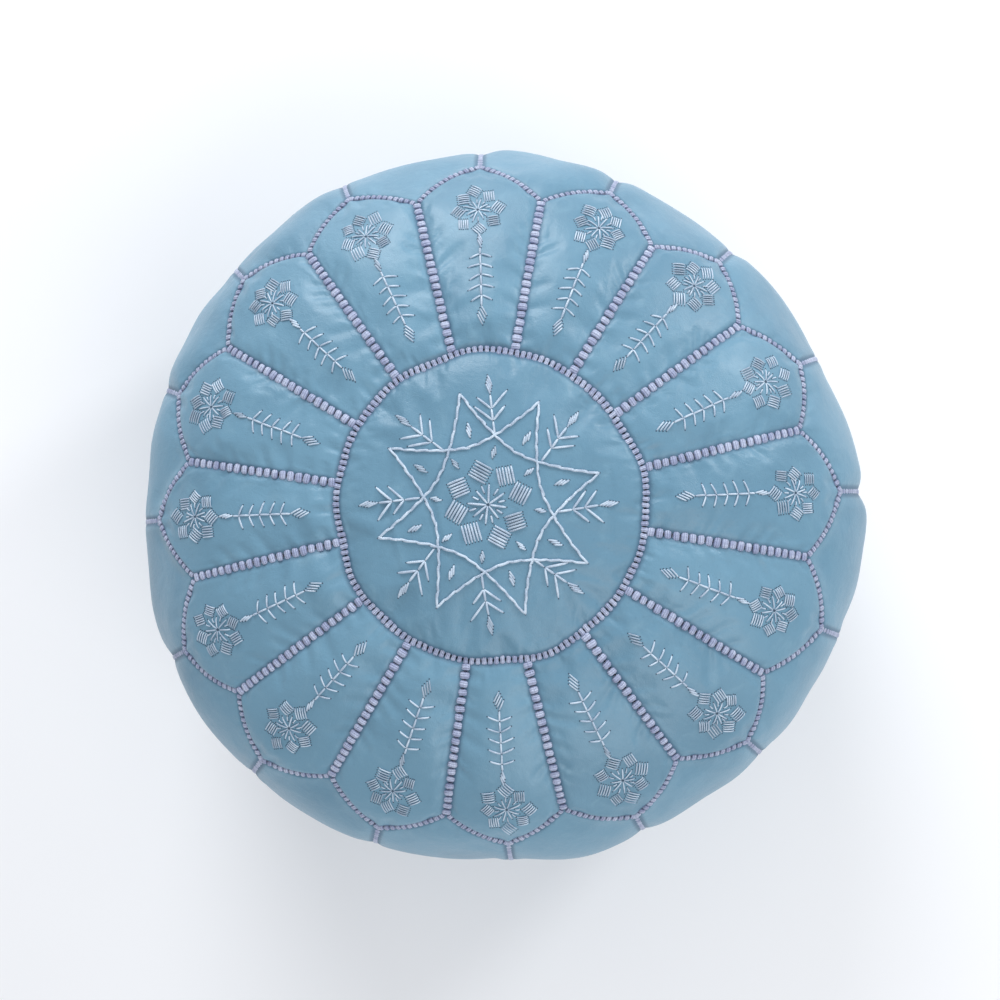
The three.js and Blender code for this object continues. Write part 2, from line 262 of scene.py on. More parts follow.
def blowUp(points, faces, held):
    cover = newObject("cover", newMesh("cover", points, faces))
    seams = cover.vertex_groups.new(name="seams")
    seams.add([int(i) for i in np.flatnonzero(held)], 1.0, "REPLACE")
    cloth = cover.modifiers.new("stuffing", "CLOTH")
    fabric = cloth.settings
    fabric.vertex_group_mass = "seams"
    fabric.quality = 8
    fabric.mass = 0.25
    fabric.tension_stiffness = 40
    fabric.compression_stiffness = 25
    fabric.shear_stiffness = 15
    fabric.bending_stiffness = 4
    fabric.tension_damping = fabric.compression_damping = fabric.shear_damping = 15
    fabric.air_damping = 5
    fabric.use_pressure = True
    fabric.uniform_pressure_force = stuffing["pressure"]
    fabric.shrink_min = -stuffing["slack"]
    fabric.effector_weights.gravity = 0
    cloth.collision_settings.use_collision = False
    scene = bpy.context.scene
    cloth.point_cache.frame_start, cloth.point_cache.frame_end = 1, stuffing["frames"]
    for number in range(1, stuffing["frames"] + 1):
        scene.frame_set(number)
    blown = cover.evaluated_get(bpy.context.evaluated_depsgraph_get())
    place = np.empty(len(points) * 3, np.float32)
    blown.to_mesh().vertices.foreach_get("co", place)
    blown.to_mesh_clear()
    bpy.data.objects.remove(cover)
    scene.frame_set(1)
    return place.reshape(-1, 3).astype(float)


def coverShifts(patches):
    grids, faces, start = [], [], 0
    for name, cutter, index, columns, rows, _ in patches:
        grid = cutter(index, evenLines(columns), evenLines(rows))
        grid["place"], grid["normal"] = skinPoints(grid["angle"], grid["arc"])
        faces.append(gridFaces(*grid["arc"].shape, flip=cutter is medallionGrid) + start)
        start += grid["arc"].size
        grids.append(grid)
    flat = np.concatenate([grid["place"].reshape(-1, 3) for grid in grids])
    normals = np.concatenate([grid["normal"].reshape(-1, 3) for grid in grids])
    toSeam, faces = np.concatenate([grid["toSeam"].ravel() for grid in grids]), np.concatenate(faces)
    _, first, merged = np.unique(np.round(flat * 1e5).astype(np.int64), axis=0, return_index=True,
                                 return_inverse=True)
    merged = merged.ravel()
    held = np.zeros(len(first), bool)
    held[merged[toSeam < 1e-6]] = True
    shift = blowUp(flat[first], merged[faces], held) - flat[first]
    length = np.linalg.norm(shift, axis=1, keepdims=True)
    shift = (shift * np.minimum(1, stuffing["cap"] / np.maximum(length, 1e-9)))[merged]
    rise = (shift * normals).sum(1) * 1000
    print("cover blown up by", round(float(rise.mean()), 2), "mm, at most", round(float(rise.max()), 2), "mm")
    shifts, start = [], 0
    for grid in grids:
        size = grid["arc"].size
        shifts.append(shift[start:start + size].reshape(*grid["arc"].shape, 3))
        start += size
    return shifts


# Shader and geometry recipes

class Wire:
    def __init__(self, recipe, socket):
        self.recipe = recipe
        self.socket = socket

    def maths(self, operation, *parts):
        return self.recipe.node("ShaderNodeMath", {"operation": operation}, dict(enumerate(parts)))

    def __add__(self, other):
        return self.maths("ADD", self, other)

    def __sub__(self, other):
        return self.maths("SUBTRACT", self, other)

    def __rsub__(self, other):
        return self.maths("SUBTRACT", other, self)

    def __mul__(self, other):
        return self.maths("MULTIPLY", self, other)

    def __pow__(self, other):
        return self.maths("POWER", self, other)

    __radd__ = __add__
    __rmul__ = __mul__

    def sine(self):
        return self.maths("SINE", self)

    def absolute(self):
        return self.maths("ABSOLUTE", self)

    def ramp(self, low, high):
        return self.recipe.node("ShaderNodeMapRange", {"interpolation_type": "SMOOTHSTEP"},
                                {"Value": self, "From Min": low, "From Max": high})


class Recipe:
    def __init__(self, tree):
        self.tree = tree

    def node(self, kind, settings=None, inputs=None, output=0):
        made = self.tree.nodes.new(kind)
        for key, value in (settings or {}).items():
            setattr(made, key, value)
        for key, value in (inputs or {}).items():
            socket = made.inputs[key]
            if isinstance(value, Wire):
                self.tree.links.new(value.socket, socket)
            else:
                socket.default_value = value
        return Wire(self, made.outputs[output]) if len(made.outputs) else made

    def noise(self, place, scale, detail=2.0, roughness=0.5, distortion=0.0):
        return self.node("ShaderNodeTexNoise", None, {"Vector": place, "Scale": scale, "Detail": detail,
                                                     "Roughness": roughness, "Distortion": distortion})

    def mix(self, factor, first, second, blend="MIX"):
        return self.node("ShaderNodeMix", {"data_type": "RGBA", "blend_type": blend},
                         {0: factor, 6: first, 7: second}, output=2)

    def own(self, name):
        return self.node("ShaderNodeAttribute", {"attribute_name": name}, output="Fac")

    def bump(self, height, strength, distance, under=None):
        inputs = {"Height": height, "Strength": strength, "Distance": distance}
        if under:
            inputs["Normal"] = under
        return self.node("ShaderNodeBump", None, inputs)


def newFinish(name):
    finish = bpy.data.materials.new(name)
    finish.use_nodes = True
    finish.node_tree.nodes.clear()
    recipe = Recipe(finish.node_tree)
    return finish, recipe, recipe.node("ShaderNodeTexCoord", output="Object")


def finishWith(recipe, look):
    shader = recipe.node("ShaderNodeBsdfPrincipled", None, look)
    recipe.node("ShaderNodeOutputMaterial", None, {"Surface": shader})


def colour(red, green, blue):
    def linear(value):
        value /= 255
        return value / 12.92 if value <= 0.04045 else ((value + 0.055) / 1.055) ** 2.4
    return (linear(red), linear(green), linear(blue), 1.0)


leatherLook = {
    "body": colour(106, 147, 170),
    "cloud": colour(97, 137, 160),
    "bloom": colour(126, 163, 182),
    "scuff": colour(78, 111, 132),
    # the seam colour is painted shade: the darker blue-grey where the leather dips into the seam valleys
    # beside the yarn
    "seam": colour(62, 92, 118),
    "grain": 950,
    "pleat": 0.0088,
    "roughness": 0.36,
}


def leatherFinish():
    look = leatherLook
    finish, recipe, place = newFinish("blueLeather")
    toSeam, along, tone = recipe.own("toSeam"), recipe.own("along"), recipe.own("tone")
    clouds = recipe.noise(place, 16, 4, 0.6)
    smudges = recipe.noise(place, 60, 5, 0.65, 0.6)
    specks = recipe.noise(place, 380, 3, 0.6)
    base = recipe.mix((clouds + tone).ramp(0.35, 0.7), look["body"], look["cloud"])
    base = recipe.mix(smudges.ramp(0.5, 0.8) * 0.4, base, look["bloom"])
    base = recipe.mix(specks.ramp(0.6, 0.8) * 0.3, base, look["scuff"])
    # painted shade: the leather is darkened within a few millimetres of every seam, where it dips under the
    # yarn
    nearSeam = 1 - toSeam.ramp(0.0024, 0.0056)
    base = recipe.mix(nearSeam * 0.7, base, look["seam"])
    grain = recipe.node("ShaderNodeTexVoronoi", {"feature": "DISTANCE_TO_EDGE"},
                        {"Vector": place, "Scale": look["grain"]}).ramp(0.0, 0.35)
    folds = recipe.noise(place, 150, 4, 0.6, 1.4)
    dents = recipe.noise(place, 42, 3, 0.55, 0.5)
    pull = along * (2 * math.pi / look["pleat"]) + (smudges - 0.5) * 9
    pleats = (pull.sine() + 1) * (1 - toSeam.ramp(0.003, 0.014))
    surface = recipe.bump(dents, 0.32, 0.003)
    surface = recipe.bump(pleats, 0.3, 0.0006, surface)
    surface = recipe.bump(folds, 0.35, 0.0007, surface)
    surface = recipe.bump(grain, 0.25, 0.0002, surface)
    rough = look["roughness"] + (smudges - 0.5) * 0.24 + nearSeam * 0.15 + (1 - grain) * 0.06
    finishWith(recipe, {
        "Base Color": base, "Roughness": rough, "Normal": surface,
        "Specular IOR Level": 0.45, "Sheen Weight": 0.02, "Coat Weight": 0.06, "Coat Roughness": 0.22,
    })
    return finish


yarnLook = {
    "body": colour(154, 163, 195), "light": colour(192, 201, 225), "shade": colour(90, 98, 136), "strands": 3,
}


def yarnFinish():
    look = yarnLook
    finish, recipe, place = newFinish("lilacYarn")
    wrap = recipe.node("ShaderNodeUVMap", {"uv_map": "wrap"})
    along, across = (recipe.node("ShaderNodeSeparateXYZ", None, {0: wrap}, output=axis) for axis in "XY")
    strand = (along * (math.pi * look["strands"])).sine().absolute()
    edge = ((along - 0.5).absolute() * 2).ramp(0.55, 1.0)
    waist = 1 - ((across - 0.5).absolute() * 2).ramp(0.02, 0.22)
    foot = ((across - 0.5).absolute() * 2).ramp(0.72, 1.0)
    twist = ((along * 20 + across * 40).sine() + 1) * 0.5
    fuzz = recipe.noise(place, 1800, 2)
    tint = recipe.noise(place, 110, 2)
    base = recipe.mix(tint.ramp(0.3, 0.7), look["body"], look["light"])
    # painted shade: the yarn is darkened in the grooves between strands, at each bead's ends where it meets
    # the next, across its waist and along its feet on the leather
    base = recipe.mix((1 - strand.ramp(0.0, 0.45)) * 0.5, base, look["shade"])
    base = recipe.mix(edge * 0.55, base, look["shade"])
    base = recipe.mix(waist * 0.15, base, look["shade"])
    base = recipe.mix(foot * 0.5, base, look["shade"])
    surface = recipe.bump(strand ** 0.6, 0.8, 0.0006)
    surface = recipe.bump(twist, 0.4, 0.0003, surface)
    surface = recipe.bump(fuzz, 0.2, 0.0002, surface)
    finishWith(recipe, {
        "Base Color": base, "Roughness": 0.5, "Normal": surface, "Sheen Weight": 0.3, "Sheen Roughness": 0.4,
    })
    return finish


def threadFinish():
    finish, recipe, place = newFinish("paleThread")
    run = recipe.own("threadRun")
    tint = recipe.noise(place, 130, 2)
    tone = recipe.own("tone")
    base = recipe.mix(tint.ramp(0.35, 0.65), colour(196, 212, 228), colour(164, 181, 201))
    # painted shade: satin patches taken as turned away from the light get a darker thread colour through the
    # tone attribute, which also carries a small random tone for each stitch
    base = recipe.mix(tone.ramp(0.0, 1.0), base, colour(128, 148, 168))
    twist = ((run * (2 * math.pi / 0.0014)).sine() + 1) * 0.5
    surface = recipe.bump(twist, 0.35, 0.0002)
    finishWith(recipe, {
        "Base Color": base, "Roughness": 0.30, "Normal": surface,
        "Sheen Weight": 0.2, "Specular IOR Level": 0.7,
    })
    return finish


def weaveFinish():
    finish, recipe, place = newFinish("zipCloth")
    along, across = (recipe.node("ShaderNodeSeparateXYZ", None, {0: place}, output=axis) for axis in "XY")
    rib = ((along * (2 * math.pi / 0.0009)).sine() + 1) * 0.5
    warp = ((across * (2 * math.pi / 0.0012) + along * 900).sine() + 1) * 0.5
    weave = rib * 0.6 + warp * 0.4
    base = recipe.mix(weave, colour(66, 92, 112), colour(104, 136, 156))
    base = recipe.mix(recipe.noise(place, 80, 3).ramp(0.5, 0.9) * 0.3, base, colour(128, 150, 166))
    finishWith(recipe, {
        "Base Color": base, "Roughness": 0.85, "Normal": recipe.bump(weave, 0.5, 0.0003), "Sheen Weight": 0.2,
    })
    return finish


def plainFinish(name, tone, roughness, metallic=0.0):
    finish, recipe, place = newFinish(name)
    mottle = recipe.noise(place, 60, 4, 0.6)
    darker = tuple(0.8 * part for part in tone[:3]) + (1.0,)
    base = recipe.mix(mottle.ramp(0.3, 0.75), tone, darker)
    finishWith(recipe, {
        "Base Color": base, "Roughness": roughness + (mottle - 0.5) * 0.1, "Metallic": metallic,
        "Normal": recipe.bump(recipe.noise(place, 900, 2), 0.15, 0.0002),
    })
    return finish


# Leather panels

leatherCut = {
    "back": 0.0006,  # the cut edge stands back from the seam line, and turns down under the yarn
    "thickness": 0.0014,
    "rollWidth": 0.0070,
    "rollDepth": 0.0024,
    "sideRollDepth": 0.0014,
    "sidePuff": 0.36,  # the sides are held flatter than the top
    "lump": 0.0013,
    "creases": 5,
    "creaseLength": (0.018, 0.040),
    "creaseWidth": 0.0030,
    "creaseHeight": 0.0012,
}


def lumps(place):
    x, y, z = (place[..., i] for i in range(3))
    fine = np.sin(61 * x + 47 * y + 1.0) * np.sin(53 * y - 41 * z + 2.1)
    fine += np.sin(71 * z + 37 * x - 31 * y + 0.6)
    broad = np.sin(29 * x - 17 * z + 0.4) * np.sin(23 * y + 13 * z + 1.7)
    return leatherCut["lump"] * (0.5 * fine + 1.1 * broad)


def creases(grid, chance):
    aside, arc, height = grid["aside"], grid["arc"], 0
    low, high = arc.min(), arc.max()
    for _ in range(leatherCut["creases"]):
        hand = chance.choice((-1, 1))
        startArc = low + (high - low) * chance.random()
        startAside = hand * float(np.abs(aside[np.abs(arc - startArc) < 0.01]).max())
        lean = chance.uniform(0.35, 1.15) * chance.choice((-1, 1))
        length = chance.uniform(*leatherCut["creaseLength"])
        along = (aside - startAside) * -hand * math.cos(lean) + (arc - startArc) * math.sin(lean)
        apart = (aside - startAside) * hand * math.sin(lean) + (arc - startArc) * math.cos(lean)
        apart = apart + 0.0015 * np.sin(along / 0.006)
        fade = smooth(along / 0.004 + 0.5) * (1 - smooth(along / length))
        dip = np.exp(-(apart / leatherCut["creaseWidth"]) ** 2)
        dip = dip - 0.7 * np.exp(-((apart - 0.005) / 0.004) ** 2)
        height = height + chance.uniform(0.5, 1.0) * leatherCut["creaseHeight"] * fade * dip
    return height


def thicken(name, mesh, finish):
    obj = newObject(name, mesh, finish)
    wall = obj.modifiers.new("wall", "SOLIDIFY")
    wall.thickness = leatherCut["thickness"]
    wall.offset = -1
    settle(obj)
    obj.data.shade_smooth()
    return obj


def panelObject(patch, shift, finish, chance):
    name, cutter, index, columns, rows, fine = patch
    down, across = fineLines(rows, fine), fineLines(columns, fine)
    grid = cutter(index, across, down)
    place, normal = skinPoints(grid["angle"], grid["arc"])
    onSide = cutter is sideGrid
    puff = leatherCut["sidePuff"] if onSide else 1.0
    place += puff * np.einsum("ri,ijk,cj->rck", between(rows + 1, down), shift, between(columns + 1, across))
    toSeam = grid["toSeam"].clip(0)
    near = 1 - np.clip(toSeam / leatherCut["rollWidth"], 0, 1)
    rise = -leatherCut["sideRollDepth" if onSide else "rollDepth"] * (1 - np.sqrt(1 - near ** 2))
    lump = 1.7 if onSide else 1.0
    rise = rise + (lump * lumps(place) + creases(grid, chance)) * (1 - np.exp(-(toSeam / 0.009) ** 2))
    place += normal * rise[..., None]
    inward = place[len(down) // 2, len(across) // 2] - place
    inward -= (inward * normal).sum(-1, keepdims=True) * normal
    inward /= np.maximum(np.linalg.norm(inward, axis=-1, keepdims=True), 1e-9)
    place += (toSeam < 1e-6)[..., None] * inward * leatherCut["back"]
    sideways = 1 - np.abs(np.linspace(-1, 1, len(across)))[None, :]
    sideways = sideways * np.abs(grid["aside"]).max(1, keepdims=True)
    along = np.where(sideways <= toSeam + 1e-6, grid["arc"], grid["aside"])
    if cutter is medallionGrid:
        along = grid["angle"] * ringArc
    mesh = newMesh(name, place.reshape(-1, 3), gridFaces(*toSeam.shape, flip=cutter is medallionGrid))
    tone = np.full(toSeam.size, chance.uniform(-0.12, 0.12))
    for key, values in (("toSeam", toSeam), ("along", along), ("tone", tone)):
        giveValues(mesh, key, values)
    return thicken(name + "_leather", mesh, finish)


# Overcast seams

def beadObject(name, waist, taper):
    stations, sides = (-1, -0.82, -0.5, -0.18, 0.18, 0.5, 0.82, 1), 7
    points, wrap = [], []
    for across in stations:
        tall = 0.5 * max(1 - abs(across) ** 2.6, 0.03) ** 0.5 * (1 - waist * math.exp(-(across / 0.3) ** 2))
        long = 0.5 * (1 - taper * abs(across) ** 3) * (1 - 0.4 * waist * math.exp(-(across / 0.3) ** 2))
        for side in range(sides):
            turn = 2 * math.pi * (side + 0.5) / sides
            points.append((long * math.cos(turn), 0.5 * across, tall * math.sin(turn) - 0.2 * across ** 4))
            wrap.append((math.cos(turn) * 0.5 + 0.5, 0.5 + 0.5 * across))
    faces = [tuple(reversed(range(sides))), tuple(range(len(points) - sides, len(points)))]
    for station in range(len(stations) - 1):
        for side in range(sides):
            a, b = station * sides + side, station * sides + (side + 1) % sides
            faces.append((a, b, b + sides, a + sides))
    mesh = newMesh(name, points, [face[::-1] for face in faces])
    uv = mesh.uv_layers.new(name="wrap")
    for loop in mesh.loops:
        uv.data[loop.index].uv = wrap[loop.vertex_index]
    mesh.shade_smooth()
    return bpy.data.objects.new(name, mesh)


def growTree(name, inputs):
    tree = bpy.data.node_groups.new(name, "GeometryNodeTree")
    tree.interface.new_socket("Geometry", in_out="INPUT", socket_type="NodeSocketGeometry")
    for label, value in inputs.items():  # a number, or the kind of thing that is handed in
        kind = value if isinstance(value, str) else type(value).__name__.capitalize()
        socket = tree.interface.new_socket(label, in_out="INPUT", socket_type="NodeSocket" + kind)
        if kind != value:
            socket.default_value = value
    tree.interface.new_socket("Geometry", in_out="OUTPUT", socket_type="NodeSocketGeometry")
    recipe = Recipe(tree)
    entry = tree.nodes.new("NodeGroupInput")
    given = {socket.name: Wire(recipe, socket) for socket in entry.outputs if socket.name}
    return tree, recipe, given


def growOut(recipe, geometry, finish):
    real = recipe.node("GeometryNodeRealizeInstances", None, {0: geometry})
    painted = recipe.node("GeometryNodeSetMaterial", None, {"Geometry": real, "Material": finish})
    recipe.node("NodeGroupOutput", None, {0: painted})


def vectorOwn(recipe, name):
    return recipe.node("GeometryNodeInputNamedAttribute", {"data_type": "FLOAT_VECTOR"}, {"Name": name})


def overcastTree():
    tree, recipe, given = growTree("overcast", {
        "Pitch": 0.005, "Width": 0.007, "Height": 0.0045, "Lift": 0.0, "Seed": 1,
        "Bead": "Object", "Finish": "Material",
    })
    line = recipe.node("GeometryNodeMeshToCurve", None, {"Mesh": given["Geometry"]})
    spaced = recipe.node("GeometryNodeResampleCurve", {"mode": "LENGTH"},
                         {"Curve": line, "Length": given["Pitch"]})
    out = vectorOwn(recipe, "out")
    tangent = recipe.node("GeometryNodeInputTangent")
    stood = recipe.node("FunctionNodeAlignRotationToVector", {"axis": "Z"}, {"Vector": out})
    facing = recipe.node("FunctionNodeAlignRotationToVector", {"axis": "X", "pivot_axis": "Z"},
                         {"Rotation": stood, "Vector": tangent})
    loose = recipe.node("FunctionNodeRandomValue", {"data_type": "FLOAT_VECTOR"},
                        {0: (-0.06, -0.06, -0.12), 1: (0.06, 0.06, 0.12), "Seed": given["Seed"]})
    swing = recipe.node("FunctionNodeEulerToRotation", None, {0: loose})
    turned = recipe.node("FunctionNodeRotateRotation", {"rotation_space": "LOCAL"},
                         {"Rotation": facing, "Rotate By": swing})
    vary = recipe.node("FunctionNodeRandomValue", {"data_type": "FLOAT_VECTOR"},
                       {0: (0.90, 0.90, 0.86), 1: (1.04, 1.08, 1.1), "Seed": given["Seed"] + 7})
    size = recipe.node("ShaderNodeCombineXYZ", None,
                       {0: given["Pitch"], 1: given["Width"], 2: given["Height"]})
    scale = recipe.node("ShaderNodeVectorMath", {"operation": "MULTIPLY"}, {0: size, 1: vary})
    raised = recipe.node("ShaderNodeVectorMath", {"operation": "SCALE"}, {0: out, "Scale": given["Lift"]})
    moved = recipe.node("GeometryNodeSetPosition", None, {"Geometry": spaced, "Offset": raised})
    bead = recipe.node("GeometryNodeObjectInfo", None, {"Object": given["Bead"]}, output="Geometry")
    beads = recipe.node("GeometryNodeInstanceOnPoints", None,
                        {"Points": moved, "Instance": bead, "Rotation": turned, "Scale": scale})
    growOut(recipe, beads, given["Finish"])
    return tree


def stitchTree():
    tree, recipe, given = growTree("stitches", {"Arch": 0.0007, "Sink": 0.0005, "Finish": "Material"})
    line = recipe.node("GeometryNodeMeshToCurve", None, {"Mesh": given["Geometry"]})
    spaced = recipe.node("GeometryNodeResampleCurve", {"mode": "COUNT"}, {"Curve": line, "Count": 6})
    along = recipe.node("GeometryNodeSplineParameter")
    run = recipe.node("GeometryNodeSplineParameter", None, None, output="Length")
    bell = 1 - (along * 2 - 1).absolute() ** 4
    out = vectorOwn(recipe, "out")
    lift = bell * (given["Arch"] + given["Sink"]) - given["Sink"]
    offset = recipe.node("ShaderNodeVectorMath", {"operation": "SCALE"}, {0: out, "Scale": lift})
    arched = recipe.node("GeometryNodeSetPosition", None, {"Geometry": spaced, "Offset": offset})
    thick = recipe.node("GeometryNodeInputNamedAttribute", {"data_type": "FLOAT"}, {"Name": "thick"})
    kept = recipe.node("GeometryNodeStoreNamedAttribute", {"data_type": "FLOAT", "domain": "POINT"},
                       {"Geometry": arched, "Name": "threadRun", "Value": run})
    ring = recipe.node("GeometryNodeCurvePrimitiveCircle", {"mode": "RADIUS"},
                       {"Resolution": 6, "Radius": 1.0})
    tube = recipe.node("GeometryNodeCurveToMesh", None, {
        "Curve": kept, "Profile Curve": ring, "Scale": thick * (0.55 + bell * 0.45), "Fill Caps": True,
    })
    growOut(recipe, tube, given["Finish"])
    return tree


def grow(name, mesh, tree, values):
    obj = newObject(name, mesh)
    modifier = obj.modifiers.new("grow", "NODES")
    modifier.node_group = tree
    for item in tree.interface.items_tree:
        if item.in_out == "INPUT" and item.name in values:
            modifier[item.identifier] = values[item.name]
    obj.update_tag()
    settle(obj)
    obj.data.shade_smooth()
    return obj


def pathMesh(name, paths):
    points, normals, edges = [], [], []
    for angle, arc, closed in paths:
        place, normal = skinPoints(angle, arc)
        start, count = len(points), len(place)
        points.extend(place)
        normals.extend(normal)
        edges += [(start + i, start + i + 1) for i in range(count - 1)]
        if closed:
            edges.append((start + count - 1, start))
    mesh = newMesh(name, points, edges=edges)
    giveValues(mesh, "out", normals, vector=True)
    return mesh


def line(start, end, count):
    share = np.linspace(0, 1, count)
    return start[0] + (end[0] - start[0]) * share, start[1] + (end[1] - start[1]) * share


seams = {
    "ring": {"Pitch": 0.0041, "Width": 0.0070, "Height": 0.0046, "Lift": -0.0006},
    "radial": {"Pitch": 0.0056, "Width": 0.0073, "Height": 0.0052, "Lift": -0.0004},
    "gable": {"Pitch": 0.0044, "Width": 0.0052, "Height": 0.0042, "Lift": -0.0006},
    "side": {"Pitch": 0.0046, "Width": 0.0054, "Height": 0.0036, "Lift": -0.0014},
    "base": {"Pitch": 0.0050, "Width": 0.0060, "Height": 0.0040, "Lift": -0.0006},
}


def seamPaths():
    around = np.linspace(0, 2 * math.pi, 400, endpoint=False)
    paths = {"ring": [(around, ringArc + 0 * around, True)], "base": [(around, baseArc + 0 * around, True)],
             "radial": [], "gable": [], "side": []}
    clear = 0.0048  # from a junction to the first bead
    for i in range(pouf["panels"]):
        tip, notch = 2 * halfPanel * i, (2 * i + 1) * halfPanel
        paths["radial"].append((*line((notch, ringArc + clear), (notch, notchArc - clear * 0.4), 60), False))
        share = np.linspace(0.04, 0.93, 30)
        paths["gable"].append((tip + halfPanel * share, gableArc(share), False))
        paths["gable"].append((tip - halfPanel * share, gableArc(share), False))
        paths["side"].append((*line((tip, tipArc + clear * 0.6), (tip, baseArc - clear * 0.6), 140), False))
    return paths


def joinPieces(name, objects):
    with bpy.context.temp_override(active_object=objects[0], selected_editable_objects=objects,
                                   selected_objects=objects):
        bpy.ops.object.join()
    objects[0].name = name
    objects[0].data.name = name
    return objects[0]


def seamPieces(finish):
    double, single = beadObject("doubleBead", 0.42, 0.30), beadObject("singleBead", 0.12, 0.42)
    tree, paths, made = overcastTree(), seamPaths(), {}
    for seed, kind in enumerate(paths):
        bead = double if kind == "ring" else single
        values = {**seams[kind], "Seed": 11 * seed + 3, "Bead": bead, "Finish": finish}
        made[kind] = grow(kind + "Beads", pathMesh(kind, paths[kind]), tree, values)
    top = joinPieces("top_overcast", [made["ring"], made["radial"], made["gable"]])
    side = joinPieces("side_overcast", [made["side"], made["base"]])
    return top, side


# Embroidery

star = {
    "centre": (-0.0008, 0.0008),
    "tip": 0.0758,
    "sway": (-0.5, 2.3, -2.0, -1.2, 0.3, 1.8, 2.1, -1.9),  # degrees, tip by tip: it was drawn by hand
    "waist": 0.0380,
    "turn": math.radians(13.85),
    "bend": 1.545,
    "stitches": 13,
}
threadWidth = {"star": 0.00090, "leaf": 0.00082, "petal": 0.00068, "satin": 0.00076, "flower": 0.00050}


class Sampler:
    def __init__(self, seed):
        self.random = random.Random(seed)
        self.stitches = []
        self.holes = []
        self.tone = 0.0  # how far a patch of satin stitch is turned away from the light

    def shake(self, size):
        return self.random.uniform(-size, size)

    def stitch(self, start, end, width, loose=0.0002, holes=True):
        ends = [(x + self.shake(loose), y + self.shake(loose)) for x, y in (start, end)]
        self.stitches.append((*ends, width * (1 + self.shake(0.08)), self.tone + self.shake(0.15)))
        if holes:
            self.holes += ends


def local(origin, turn, along, aside=0.0):
    return (origin[0] + along * math.cos(turn) - aside * math.sin(turn),
            origin[1] + along * math.sin(turn) + aside * math.cos(turn))


def satin(work, centre, turn, length, width, count, thread, slant=0.0):
    # painted shade: each satin patch is given a darkness for how far it is taken as turned from the light
    work.tone = work.random.choice((0.0, 0.1, 0.3, 0.55))
    for k in range(count):
        aside = width * ((k + 0.5) / count - 0.5)
        ends = [local(centre, turn, slant * aside + part * length / 2, aside) for part in (-1, 1)]
        work.stitch(*ends, thread)
    work.tone = 0.0


def lozenge(work, centre, turn, length, lean, count, thread):
    # parallel threads that lean across the axis, stepped so that the patch ends in two points
    side = length / (2 * math.cos(lean))
    width, slant = side * abs(math.sin(2 * lean)), -1 / math.tan(2 * lean)
    satin(work, centre, turn + lean, side, width, count, thread, slant)


def flower(work, centre, turn, sizes, thread):
    for k in range(8):
        out = turn + k * math.pi / 4 + work.shake(0.06)
        spot = local(centre, out, sizes["reach"] * (1 + work.shake(sizes["stray"])))
        side = sizes["side"] * (1 + work.shake(sizes["stray"]))
        satin(work, spot, out + math.radians(47) + work.shake(0.1), side, side * 0.92, sizes["count"], thread)
    for k in range(8):
        out = turn + math.pi / 8 + k * math.pi / 4 + work.shake(0.08)
        ray = sizes["ray"] * (1 + work.shake(0.15))
        work.stitch(local(centre, out, ray * 0.05), local(centre, out, ray), thread)
        between = out + math.pi / 8
        work.stitch(local(centre, between, ray * 0.55), local(centre, between, ray * 0.95), thread * 0.85)


def starTip(k):
    sway = math.radians(star["sway"][k % 8])
    return local(star["centre"], star["turn"] + k * math.pi / 4 + sway, star["tip"])


def starSide(work, k):
    first, last, count = starTip(k - 1), starTip(k + 1), star["stitches"]
    turn = math.atan2(last[1] - first[1], last[0] - first[0])
    reach = math.hypot(last[0] - first[0], last[1] - first[1]) / 2
    middle = ((first[0] + last[0]) / 2, (first[1] + last[1]) / 2)
    depth = star["tip"] * math.sqrt(0.5) - star["waist"]

    def spot(share, aside=0.0):
        return local(middle, turn, share * reach, depth * (1 - abs(share) ** star["bend"]) + aside)

    for k in range(count):
        low, high = (max(-1, min(1, -1 + 2 * (k + part) / count)) for part in (-0.12, 0.98))
        work.stitch(spot(low, -0.0005), spot(high, 0.0005), threadWidth["star"])
        low, high = (max(-1, min(1, -1 + 2 * (k + part) / count)) for part in (-0.42, 0.52))
        work.stitch(spot(low, 0.0006), spot(high, -0.0004), threadWidth["star"] * 0.9, holes=False)


def leafSprig(work, root, tip, thread):
    turn = math.atan2(tip[1] - root[1], tip[0] - root[0]) + work.shake(0.04)
    reach = math.hypot(tip[0] - root[0], tip[1] - root[1])
    nodes = [reach * 0.28, reach * 0.47]
    stops = [reach * 0.02, *nodes, reach * 0.70]
    for a, b in zip(stops, stops[1:]):
        work.stitch(local(root, turn, a), local(root, turn, b), thread)
    for node in nodes:
        for side in (-1, 1):
            size = 1 + work.shake(0.18)
            end = local(root, turn, node + 0.0100 * size, side * 0.0105 * size)
            work.stitch(local(root, turn, node), end, thread)
    lozenge(work, local(root, turn, reach * 0.86), turn, reach * 0.36, math.radians(17), 4, thread * 0.85)


starSprig = {"root": 0.0440, "tip": 0.0850, "sway": math.radians(7.2),
             "pointPatch": 0.0505, "crossPatch": 0.0345}
rosette = {"reach": 0.0216, "side": 0.0130, "stray": 0.05, "count": 6, "ray": 0.0125}


def medallionWork():
    work = Sampler(7)
    for k in range(8):
        point = star["turn"] + k * math.pi / 4
        cross = point + math.pi / 8
        starSide(work, k)
        root = local(star["centre"], cross, starSprig["root"])
        tip = local(star["centre"], cross + starSprig["sway"], starSprig["tip"])
        leafSprig(work, root, tip, threadWidth["leaf"])
        spot = local(star["centre"], point + work.shake(0.03), starSprig["pointPatch"])
        lozenge(work, spot, point + work.shake(0.15), 0.0125, math.radians(17), 3, threadWidth["satin"])
        spot = local(star["centre"], cross, starSprig["crossPatch"])
        lozenge(work, spot, cross + work.shake(0.15), 0.0098, math.radians(18), 3, threadWidth["satin"] * 0.9)
    flower(work, star["centre"], star["turn"], rosette, threadWidth["satin"])
    return work


